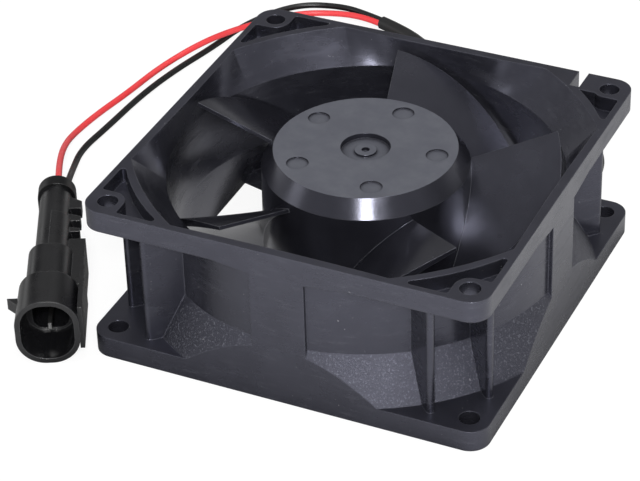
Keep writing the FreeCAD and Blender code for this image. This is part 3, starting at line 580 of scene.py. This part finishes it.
@dataclass(frozen=True)
class Metal(Finish):
    """Turned, drawn or ground metal with fine marks round the fan's axis."""

    dull: Colour
    roughness: float = 0.3
    mark_size: float = 0.00072
    mark_depth: float = 3e-6
    mark_stretch: Point = (8.0, 8.0, 0.25)
    mark_span: Span = (0.3, 0.7)
    mark_ends: Span = (-0.07, 0.10)
    tarnish: Cloud = Cloud(0.003, 4.0, span=(0.35, 0.75))
    tarnish_share: float = 0.7
    edge: float = 0.00012

    def shader(self, graph: Graph) -> Wire:
        """The metal's shader.

        Args:
            graph: The material's graph.

        Returns:
            The shader.
        """
        marks = graph.noise(self.mark_size, detail=2.0, roughness=0.7, stretch=self.mark_stretch)
        colour = graph.mix(graph.cloud(self.tarnish) * self.tarnish_share, self.colour, self.dull)
        rough = graph.remap(marks, self.mark_span, tuple(self.roughness + end for end in self.mark_ends))
        normal = graph.bump(marks, self.mark_depth, graph.soft_normal(self.edge))
        return graph.principled(Base_Color=colour, Metallic=1.0, Roughness=rough, Normal=normal)


@dataclass(frozen=True)
class Stack(Finish):
    """Stamped sheets seen from the side: a dark line between every two."""

    line: Colour
    pitch: float = 0.0005
    line_width: float = 0.35
    line_depth: float = 2e-5
    rust: Cloud = Cloud(0.002, 4.0, span=(0.4, 0.8))
    rust_share: float = 0.2
    sheen: Cloud = Cloud(0.0006, 2.0, 0.5, ends=(0.36, 0.52))
    metallic: float = 0.9
    edge: float = 0.0001

    def shader(self, graph: Graph) -> Wire:
        """The stack's shader: the height over the pitch is folded to a triangle wave.

        Args:
            graph: The material's graph.

        Returns:
            The shader.
        """
        wave = graph.math("PINGPONG", graph.part(graph.place(), "Z") / self.pitch, 0.5) * 2.0
        joint = graph.remap(wave, (0.0, self.line_width), FALLING)
        dark = joint * (1.0 - self.rust_share) + graph.cloud(self.rust) * self.rust_share
        colour = graph.mix(dark, self.colour, self.line)
        normal = graph.bump(1.0 - joint, self.line_depth, graph.soft_normal(self.edge))
        return graph.principled(
            Base_Color=colour, Metallic=self.metallic, Roughness=graph.cloud(self.sheen), Normal=normal,
        )


@dataclass(frozen=True)
class Coil(Finish):
    """Enamelled copper laid in turns round a pole: bands of equal distance from the fan's axis."""

    shade: Colour
    wire: float = 0.00042
    wander_size: float = 0.004
    wander_share: float = 0.8
    depth_share: float = 0.4
    rough_ends: Span = (0.5, 0.26)
    metallic: float = 0.85
    edge: float = 0.0002

    def shader(self, graph: Graph) -> Wire:
        """The coil's shader: the radius over the wire's width is folded to round ridges.

        Args:
            graph: The material's graph.

        Returns:
            The shader.
        """
        wander = graph.noise(self.wander_size, detail=2.0, roughness=0.5) * (self.wire * self.wander_share)
        ridge = graph.math("PINGPONG", (graph.axis_distance() + wander) / self.wire, 0.5) * 2.0
        turn = graph.remap(ridge, RISING)
        colour = graph.mix(turn, self.shade, self.colour)
        rough = graph.remap(turn, RISING, self.rough_ends)
        normal = graph.bump(turn, self.wire * self.depth_share, graph.soft_normal(self.edge))
        return graph.principled(Base_Color=colour, Metallic=self.metallic, Roughness=rough, Normal=normal)


@dataclass(frozen=True)
class BoardLaminate(Finish):
    """Solder resist with faint copper tracks under it and the weave of the glass."""

    track: Colour
    cells_per_metre: float = 260.0
    track_span: Span = (0.03, 0.07)
    weave: float = 9000.0
    weave_share: float = 0.2
    relief: float = 2.2e-5
    sheen: Cloud = Cloud(0.004, roughness=0.5, ends=(0.22, 0.36))
    edge: float = 0.0001

    def shader(self, graph: Graph) -> Wire:
        """The board's shader: cells for the copper areas and crossed waves for the weave.

        Args:
            graph: The material's graph.

        Returns:
            The shader.
        """
        inputs = {"Vector": graph.place(), "Scale": self.cells_per_metre}
        cells = graph.node("TexVoronoi", {"feature": "DISTANCE_TO_EDGE"}, inputs)
        track = graph.remap(graph.out(cells, "Distance"), self.track_span)
        waves = [graph.math("SINE", graph.part(graph.place(), axis) * self.weave) for axis in ("X", "Y")]
        woven = waves[0] * waves[1] * 0.5 + 0.5
        height = track * (1.0 - self.weave_share) + woven * self.weave_share
        normal = graph.bump(height, self.relief, graph.soft_normal(self.edge))
        colour = graph.mix(track, self.colour, self.track)
        return graph.principled(Base_Color=colour, Roughness=graph.cloud(self.sheen), Normal=normal)


# ---------------------------------------------------------------- the module's sub-assemblies
def paint(nodes: Nodes, material: bpy.types.Material, names: Sequence[str]) -> None:
    """Give CAD nodes a material.

    Args:
        nodes: The CAD objects by name.
        material: The finish.
        names: The nodes that take it.
    """
    for name in names:
        piece = nodes[name]
        if not piece.material_slots:
            piece.data.materials.append(material)
        for place in piece.material_slots:
            place.material = material
        log.info("%s takes %s", name, material.name)


@dataclass
class FrameMoulding:
    """The one-piece frame with its duct, flanges, struts and motor base."""

    # Its rim is the colour of the painted highlight along the frame's sharp edges.
    plastic: FramePlastic = FramePlastic(
        "frame_plastic", (0.0120, 0.0120, 0.0160), (0.0200, 0.0203, 0.0262), roughness=0.24, grain=9e-6,
        grain_size=0.00034, edge=0.00035, specular=0.95, tint=(0.78, 0.79, 1.0), rim=(0.050, 0.051, 0.060),
    )
    cap_plastic: MouldedPlastic = MouldedPlastic(
        "base_cap_plastic", (0.010, 0.010, 0.011), (0.018, 0.018, 0.020), roughness=0.5,
    )

    def build(self, nodes: Nodes) -> None:
        """Dress the frame and the cap of its bearing tube."""
        paint(nodes, self.plastic.make(), ["fan_frame"])
        paint(nodes, self.cap_plastic.make(), ["base_cap"])


@dataclass
class Rotor:
    """The impeller and what turns with it."""

    # Its rim is the colour of the painted highlight along the blades' and hub's sharp edges.
    plastic: RotorPlastic = RotorPlastic(
        "impeller_plastic", (0.0110, 0.0110, 0.0145), (0.0180, 0.0182, 0.0235), roughness=0.235, grain=8e-6,
        grain_size=0.0003, edge=0.00022, specular=0.75, tint=(0.80, 0.81, 1.0), rim=(0.105, 0.107, 0.118),
    )
    yoke: Metal = Metal("yoke_steel", (0.50, 0.50, 0.50), (0.34, 0.34, 0.35), 0.34)
    ferrite: MouldedPlastic = MouldedPlastic(
        "magnet_ferrite", (0.045, 0.043, 0.043), (0.085, 0.082, 0.082), roughness=0.62, grain=1.6e-5,
    )
    steel: Metal = Metal("turned_steel", (0.60, 0.60, 0.61), (0.44, 0.44, 0.45), 0.22)
    brass: Metal = Metal("brass", (0.74, 0.54, 0.24), (0.50, 0.34, 0.14), 0.28)

    def build(self, nodes: Nodes) -> None:
        """Dress the turning pieces.

        Args:
            nodes: The CAD objects by name.
        """
        paint(nodes, self.plastic.make(), ["impeller"])
        paint(nodes, self.yoke.make(), ["rotor_yoke"])
        paint(nodes, self.ferrite.make(), ["rotor_magnet"])
        paint(nodes, self.steel.make(), ["rotor_shaft", "retaining_clip", "preload_washer"])
        paint(nodes, self.brass.make(), ["shaft_bush"])


@dataclass
class Bearings:
    """The two ball bearings and the tube that holds them."""

    ground: Metal = Metal("bearing_steel", (0.66, 0.66, 0.67), (0.55, 0.55, 0.56), 0.16)
    pressed: Metal = Metal("cage_steel", (0.55, 0.52, 0.46), (0.40, 0.38, 0.34), 0.36)
    brass: Metal = Metal("tube_brass", (0.72, 0.53, 0.24), (0.48, 0.33, 0.14), 0.34)

    def build(self, nodes: Nodes) -> None:
        """Dress the rings, balls, cages and tube.

        Args:
            nodes: The CAD objects by name.
        """
        ground, pressed = self.ground.make(), self.pressed.make()
        for place in ("lower", "upper"):
            paint(nodes, ground, [f"{place}_bearing_{part}" for part in ("outer", "inner", "balls")])
            paint(nodes, pressed, [f"{place}_bearing_cage"])
        paint(nodes, self.brass.make(), ["bearing_tube"])


@dataclass
class Stator:
    """The wound core and the circuit board under it."""

    core: Stack = Stack("core_sheets", (0.42, 0.42, 0.44), (0.07, 0.065, 0.06))
    nylon: MouldedPlastic = MouldedPlastic(
        "insulator_nylon", (0.66, 0.63, 0.54), (0.78, 0.76, 0.69), roughness=0.44, grain=8e-6,
    )
    copper: Coil = Coil("winding_copper", (0.78, 0.33, 0.13), (0.26, 0.08, 0.03))
    tin: Metal = Metal("tinned_metal", (0.70, 0.70, 0.69), (0.52, 0.52, 0.51), 0.3)
    laminate: BoardLaminate = BoardLaminate("board_laminate", (0.012, 0.085, 0.035), (0.030, 0.17, 0.07))
    epoxy: MouldedPlastic = MouldedPlastic(
        "chip_epoxy", (0.018, 0.018, 0.019), (0.040, 0.040, 0.042), roughness=0.55, grain=1.2e-5,
        grain_size=0.0002, edge=0.0001,
    )
    ceramic: MouldedPlastic = MouldedPlastic(
        "capacitor_ceramic", (0.30, 0.19, 0.11), (0.42, 0.29, 0.18), roughness=0.4, grain=4e-6, edge=0.0001,
    )

    def build(self, nodes: Nodes) -> None:
        """Dress the core, insulators, windings, pins, board and components.

        Args:
            nodes: The CAD objects by name.
        """
        paint(nodes, self.core.make(), ["stator_core"])
        paint(nodes, self.nylon.make(), ["upper_insulator", "lower_insulator"])
        paint(nodes, self.copper.make(), ["windings"])
        paint(nodes, self.tin.make(), ["winding_pins", "solder_tabs"])
        paint(nodes, self.laminate.make(), ["circuit_board"])
        paint(nodes, self.epoxy.make(), ["hall_sensor", "driver_chip"])
        paint(nodes, self.ceramic.make(), ["capacitor"])


@dataclass
class Plug:
    """The sealed two-way plug."""

    # Its rim is the colour of the painted highlight along the plug's sharp edges.
    plastic: MouldedPlastic = MouldedPlastic(
        "connector_plastic", (0.0062, 0.0062, 0.0072), (0.0120, 0.0120, 0.0136), roughness=0.25, grain=6e-6,
        grain_size=0.00028, edge=0.0003, specular=0.7, rim=(0.060, 0.060, 0.064),
    )
    # Its rim is the colour of the painted highlight along the cap's sharp edges.
    cap_plastic: MouldedPlastic = MouldedPlastic(
        "cap_plastic", (0.0030, 0.0030, 0.0034), (0.0055, 0.0055, 0.0060), roughness=0.34, grain=6e-6,
        grain_size=0.00028, edge=0.0003, specular=0.35, rim=(0.030, 0.030, 0.032),
    )
    lock: MouldedPlastic = MouldedPlastic(
        "lock_plastic", (0.012, 0.012, 0.013), (0.022, 0.022, 0.024), roughness=0.45,
    )
    tin: Metal = Metal("terminal_tin", (0.26, 0.26, 0.26), (0.15, 0.148, 0.14), 0.42)
    silicone: MouldedPlastic = MouldedPlastic(
        "seal_silicone", (0.20, 0.045, 0.03), (0.27, 0.07, 0.05), roughness=0.58, grain=4e-6,
    )

    nodes_on_leads: ClassVar[tuple[str, ...]] = (
        "connector_housing", "connector_end_cap", "terminals", "terminal_lock", "wire_seals",
    )

    def build(self, nodes: Nodes) -> None:
        """Dress the housing, cap, terminals, lock and seals.

        Args:
            nodes: The CAD objects by name.
        """
        paint(nodes, self.plastic.make(), ["connector_housing"])
        paint(nodes, self.cap_plastic.make(), ["connector_end_cap"])
        paint(nodes, self.lock.make(), ["terminal_lock"])
        paint(nodes, self.tin.make(), ["terminals"])
        paint(nodes, self.silicone.make(), ["wire_seals"])


class FarEnd(Enum):
    """What a lead ends in."""

    BARE = "bare"
    CONNECTOR = "connector"


@dataclass(frozen=True)
class Lead:
    """One flexible lead or sleeve, with its diameter and length in metres.

    Its route is in millimetres and starts where it leaves what holds it.
    """

    name: str
    node: str
    route: tuple[Point, ...]
    diameter: float
    length: float
    far_end: FarEnd
    stiffness: str
    section_steps: int = 7
    steps_per_point: int = 20

    def curve(self, material: bpy.types.Material) -> bpy.types.Object:
        """One open spline of order 3 with the route as its control points.

        Args:
            material: The finish.

        Returns:
            The curve object.
        """
        data = bpy.data.curves.new(self.name, "CURVE")
        data.dimensions = "3D"
        data.bevel_depth = self.diameter / 2
        data.bevel_resolution = self.section_steps
        data.resolution_u = self.steps_per_point
        data.use_fill_caps = True
        spline = data.splines.new("NURBS")
        points = np.asarray(self.route) * MM
        spline.points.add(len(points) - 1)
        spline.points.foreach_set("co", np.column_stack([points, np.ones(len(points))]).ravel())
        spline.order_u = 3
        spline.use_endpoint_u = True
        made = bpy.data.objects.new(self.name, data)
        bpy.context.scene.collection.objects.link(made)
        data.materials.append(material)
        return made


@dataclass
class Harness:
    """The sleeve out of the frame and the two leads from it to the plug."""

    sleeve: Lead = Lead(
        "sleeve", "lead_sleeve",
        ((29.99, 44.59, 1.80), (33.85, 59.09, 1.76), (27.0, 74.0, 1.72), (9.0, 84.5, 1.72),
         (-11.0, 91.5, 1.72), (-26.5, 98.0, 1.72), (-35.2, 104.0, 1.72), (-43.2, 106.667, 1.72)),
        3.4 * MM, 0.1081, FarEnd.BARE, "medium",
    )
    red: Lead = Lead(
        "red_lead", "lead_red",
        ((-43.453, 105.908, 1.72), (-47.722, 107.331, 1.72), (-56.0, 108.6, 0.79), (-66.8, 104.2, 0.79),
         (-75.6, 90.2, 2.2), (-80.2, 77.2, 3.9), (-86.6, 65.5, 1.5), (-89.1, 51.5, 0.79), (-91.2, 40.5, 0.79),
         (-92.2, 30.6, 0.79), (-89.9, 21.6, 3.2), (-84.6, 10.2, 7.0), (-76.618, -4.064, 11.15),
         (-69.194, -18.912, 11.15)),
        1.55 * MM, 0.159, FarEnd.CONNECTOR, "medium",
    )
    black: Lead = Lead(
        "black_lead", "lead_black",
        ((-42.947, 107.426, 1.72), (-47.216, 108.849, 1.72), (-57.2, 112.2, 0.79), (-69.2, 108.2, 0.79),
         (-76.9, 93.8, 0.79), (-79.2, 80.5, 0.79), (-82.9, 66.8, 0.79), (-85.3, 52.5, 0.79),
         (-86.1, 35.5, 0.79), (-87.0, 24.2, 0.79), (-83.8, 14.3, 1.9), (-80.4, 6.4, 4.2),
         (-76.349, -4.602, 5.15), (-69.194, -18.912, 5.15)),
        1.55 * MM, 0.1603, FarEnd.CONNECTOR, "medium",
    )
    red_sheath: Sheath = Sheath("lead_red_pvc", (0.80, 0.040, 0.048), (0.84, 0.075, 0.080))
    black_sheath: Sheath = Sheath("lead_black_pvc", (0.0045, 0.0045, 0.0050), (0.0090, 0.0090, 0.0100), 0.32)
    shrink: Sheath = Sheath("sleeve_black", (0.0075, 0.0075, 0.0080), (0.0140, 0.0140, 0.0150), 0.42)

    def build(self, nodes: Nodes, plug: Sequence[str]) -> None:
        """Lay the three cords and dress the tails in the strut's channel.

        Args:
            nodes: The CAD objects by name.
            plug: The nodes that are on the leads' far end; not used.
        """
        red, black = self.red_sheath.make(), self.black_sheath.make()
        paint(nodes, red, ["lead_tail_red"])
        paint(nodes, black, ["lead_tail_black"])
        for lead, sheath, slot in (
            (self.sleeve, self.shrink.make(), "sleeve_black"),
            (self.red, red, "lead_red_pvc"),
            (self.black, black, "lead_black_pvc"),
        ):
            made = lead.curve(sheath)
            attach(made, STATOR_BODY)
            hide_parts(lead.node)
            log.info("%s laid over %s", lead.name, lead.node)


# ---------------------------------------------------------------- the studio
def outward(azimuth: float, elevation: float) -> Vector:
    """The unit vector towards an azimuth and elevation in degrees; azimuth 0 is -Y and 90 is +X."""
    turn, lift = math.radians(azimuth), math.radians(elevation)
    return Vector((math.sin(turn) * math.cos(lift), -math.cos(turn) * math.cos(lift), math.sin(lift)))


@dataclass(frozen=True)
class Softbox:
    """A round lamp aimed at the fan from a direction and distance."""

    name: str
    azimuth: float
    elevation: float
    distance: float
    width: float
    watts: float

    def build(self, aim: Vector) -> None:
        """Hang the lamp.

        Args:
            aim: The point that it looks at.
        """
        data = bpy.data.lights.new(self.name, "AREA")
        data.shape = "DISK"
        data.size = self.width
        data.energy = self.watts
        made = bpy.data.objects.new(self.name, data)
        away = outward(self.azimuth, self.elevation)
        made.location = aim + away * self.distance
        made.rotation_mode = "QUATERNION"
        made.rotation_quaternion = away.to_track_quat("Z", "Y")
        bpy.context.scene.collection.objects.link(made)


@dataclass(frozen=True)
class Floor:
    """A round pale floor with light painted into its reflections: dim at the back left and brighter than
    white far in front.

    Its sizes are in metres. The weights and spans of side and front are shares of the way along X and Y.
    """

    radius: float = 4.0
    drop: float = 0.0001
    spokes: int = 96
    rings: int = 6
    colour: Colour = (0.80, 0.80, 0.81)
    fleck: float = 1.01
    paper: Cloud = Cloud(0.05, 2.0, 0.5)
    glow: float = 0.87
    lit_colour: float = 1.25
    shade_span: Span = (0.35, 1.0)
    shade_reach: float = 0.06
    right_weight: float = 0.75
    back_weight: float = 0.5
    side_span: Span = (-1.0, 1.0)
    side_ends: Span = (0.14, 1.05)
    front_span: Span = (-1.0, -0.3)
    front_pool: float = 2.2
    front_reach: Span = (0.08, 0.26)
    under_edge: Span = (43.0 * MM, 46.0 * MM)
    painted_glow_under_fan: float = 0.62

    def build(self) -> None:
        """Rings of points at growing radii, joined in quads, with a point in the middle."""
        angles = np.arange(self.spokes) * (2 * math.pi / self.spokes)
        radii = self.radius * (np.arange(1, self.rings + 1) / self.rings) ** 2
        x = np.concatenate([[0.0], np.outer(radii, np.cos(angles)).ravel()])
        y = np.concatenate([[0.0], np.outer(radii, np.sin(angles)).ravel()])
        points = np.column_stack([x, y, np.full(x.size, -self.drop)])
        step = np.arange(self.spokes)
        following = (step + 1) % self.spokes
        middle = np.column_stack([np.zeros(self.spokes, int), 1 + step, 1 + following])
        starts = 1 + self.spokes * np.arange(self.rings - 1)[:, None]
        quads = np.stack([starts + step, starts + self.spokes + step, starts + self.spokes + following,
                          starts + following], axis=-1).reshape(-1, 4)
        mesh = bpy.data.meshes.new("floor")
        mesh.from_pydata(points.tolist(), [], middle.tolist() + quads.tolist())
        made = bpy.data.objects.new("floor", mesh)
        bpy.context.scene.collection.objects.link(made)
        mesh.materials.append(self.finish())

    def pool(self, graph: Graph) -> Wire:
        """The light painted into the floor's reflections, where 1 is white and the far front is more than
        that.

        Args:
            graph: The floor material's graph.

        Returns:
            The brightness.
        """
        place, reach = graph.place(), graph.axis_distance()
        right, back = graph.part(place, "X") / reach, graph.part(place, "Y") / reach
        side = right * self.right_weight - back * self.back_weight
        aside = graph.remap(side, self.side_span, self.side_ends)
        ahead = graph.remap(back, self.front_span, (self.front_pool, 0.0))
        return aside + ahead * graph.remap(reach, self.front_reach)

    def finish(self) -> bpy.types.Material:
        """Pale paint to soft light, white with the fan's shadow to the camera, and to reflections the painted
        pool, painted shade near the fan and a painted glow under it.

        Returns:
            The material.
        """
        made, graph = new_material("floor_paint")
        colour = graph.mix(graph.cloud(self.paper), self.colour, tuple(v * self.fleck for v in self.colour))
        plain = graph.out(graph.node("BsdfDiffuse", {}, {"Color": colour}))
        path = graph.node("LightPath")
        kinds = ("Camera", "Glossy", "Transmission")
        camera, glossy, through = (graph.out(path, f"Is {kind} Ray") for kind in kinds)
        # Reflections see painted shade near the fan, where little is open round, and a painted glow on the
        # floor under the fan.
        shaded_pool = graph.remap(graph.openness(self.shade_reach), self.shade_span) * self.pool(graph)
        under = graph.remap(graph.axis_distance(), self.under_edge, (self.painted_glow_under_fan, 0.0))
        shade = graph.math("MAXIMUM", shaded_pool, under) * glossy + camera + through
        glow = graph.out(graph.node("Emission", {}, {"Color": shade * self.glow}))
        dim = graph.out(graph.node("BsdfDiffuse", {}, {"Color": [self.lit_colour * (1.0 - self.glow)] * 3}))
        lit = graph.out(graph.node("AddShader", {}, {0: dim, 1: glow}))
        seen = graph.math("MINIMUM", camera + glossy + through, 1.0)
        graph.surface(graph.out(graph.node("MixShader", {}, {0: seen, 1: plain, 2: lit})))
        return made


@dataclass(frozen=True)
class Sky:
    """A white horizon, greyer behind the fan, under a soft grey sky that is duskier halfway up there."""

    horizon: float = 1.0
    far_horizon: float = 0.7
    horizon_span: Span = (0.08, 0.3)
    grey: float = 0.46
    dusk: float = 0.85
    dusk_start: Span = (0.12, 0.35)
    dusk_end: Span = (0.50, 0.66)
    behind: Span = (-0.1, 0.5)

    def build(self) -> None:
        """Give the scene its world: its brightness follows the direction's height and its depth along +Y."""
        made = bpy.data.worlds.new("studio")
        made.use_nodes = True
        graph = Graph(made.node_tree)
        direction = graph.out(graph.node("TexCoord"), "Generated")
        height = graph.part(direction, "Z")
        backward = graph.remap(graph.part(direction, "Y"), self.behind)
        middle = graph.remap(height, self.dusk_start) * graph.remap(height, self.dusk_end, FALLING)
        overhead = self.grey * (1.0 - backward * middle * self.dusk)
        low = self.horizon + backward * (self.far_horizon - self.horizon)
        level = (graph.remap(height, self.horizon_span, FALLING) * low
                 + graph.remap(height, self.horizon_span) * overhead)
        soft = graph.out(graph.node("Background", {}, {"Color": level}))
        graph.surface(soft, kind="OutputWorld")
        bpy.context.scene.world = made


@dataclass(frozen=True)
class Eye:
    """The camera at its azimuth, elevation and roll, in degrees, about the line of sight."""

    azimuth: float = 25.7523
    elevation: float = 34.6139
    roll: float = -1.8237
    distance: float = 0.61957
    target: Point = (-0.01756, 0.01214, 0.0)
    lens: float = 150.965
    sensor: float = 36.0
    clip: Span = (0.01, 20.0)

    def build(self) -> None:
        """Set up the camera and look through it."""
        back = outward(self.azimuth, self.elevation)
        level = (-back).cross(Vector((0.0, 0.0, 1.0))).normalized()
        upright = level.cross(-back)
        turn = math.radians(self.roll)
        right = level * math.cos(turn) + upright * math.sin(turn)
        up = upright * math.cos(turn) - level * math.sin(turn)
        data = bpy.data.cameras.new("camera")
        data.sensor_width = self.sensor
        data.lens = self.lens
        data.clip_start, data.clip_end = self.clip
        made = bpy.data.objects.new("camera", data)
        made.matrix_world = Matrix((right, up, back)).transposed().to_4x4()
        made.location = Vector(self.target) + back * self.distance
        bpy.context.scene.collection.objects.link(made)
        bpy.context.scene.camera = made


@dataclass
class Studio:
    """The pale floor, the sky, the lamps and the camera."""

    floor: Floor = Floor()
    sky: Sky = Sky()
    eye: Eye = Eye()
    aim: Point = (0.0, 0.0, 0.02)
    lamps: tuple[Softbox, ...] = (
        Softbox("key_softbox", 42.0, 46.0, 1.5, 0.45, 4.6),
        Softbox("front_lamp", 24.0, 38.0, 1.5, 0.25, 13.0),
        Softbox("top_softbox", 150.0, 82.0, 1.5, 0.6, 4.6),
        Softbox("side_softbox", -60.0, 22.0, 1.6, 0.45, 0.9),
    )

    def build(self) -> None:
        """Set up the floor, world, lamps and camera."""
        self.floor.build()
        self.sky.build()
        for lamp in self.lamps:
            lamp.build(Vector(self.aim))
            log.info("lamp %s hung", lamp.name)
        self.eye.build()
        bpy.context.scene.view_settings.view_transform = "Standard"


def clear_scene() -> None:
    """Remove whatever the file starts with."""
    for piece in list(bpy.data.objects):
        bpy.data.objects.remove(piece)


def main() -> None:
    """Build the studio, dress the CAD nodes and lay the leads."""
    logging.basicConfig(level=logging.INFO, format="%(message)s")
    clear_scene()
    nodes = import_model()["nodes"]
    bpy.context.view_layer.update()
    Studio().build()
    for assembly in (FrameMoulding(), Rotor(), Bearings(), Stator(), Plug()):
        assembly.build(nodes)
    Harness().build(nodes, Plug.nodes_on_leads)


if __name__ == "__main__":
    main()
